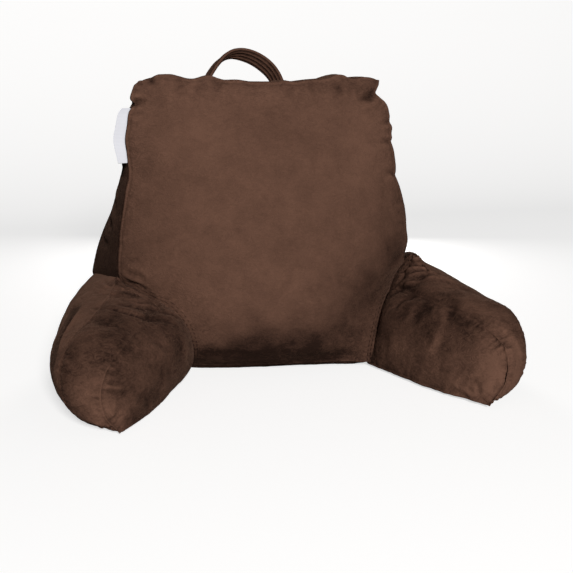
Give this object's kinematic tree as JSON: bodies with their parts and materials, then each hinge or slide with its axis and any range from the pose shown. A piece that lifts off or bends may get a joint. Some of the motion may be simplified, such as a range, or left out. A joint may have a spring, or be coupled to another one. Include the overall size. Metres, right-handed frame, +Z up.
{
  "type": "reading pillow with arms",
  "caption": "Filled backrest pillow for sitting up in bed, with two short forward arms, a carrying strap on top and a blank side tape.",
  "frame": {"origin": "middle of the flat base, on the surface the pillow stands on", "axes": "+Z up, -Y the way the sitter faces, +X to the right seen from the front"},
  "size_m": [0.6115, 0.4631, 0.4341],
  "materials": {
    "brown_velvet": "short-pile velvet, matt with a soft sheen at the rims",
    "brown_strap": "ribbed velvet strap",
    "white_tape": "smooth woven satin tape"
  },
  "bodies": {
    "root": {"backrest": "brown_velvet", "arm_left": "brown_velvet", "arm_right": "brown_velvet", "handle": "brown_strap", "label": "white_tape"}
  },
  "joints": []
}
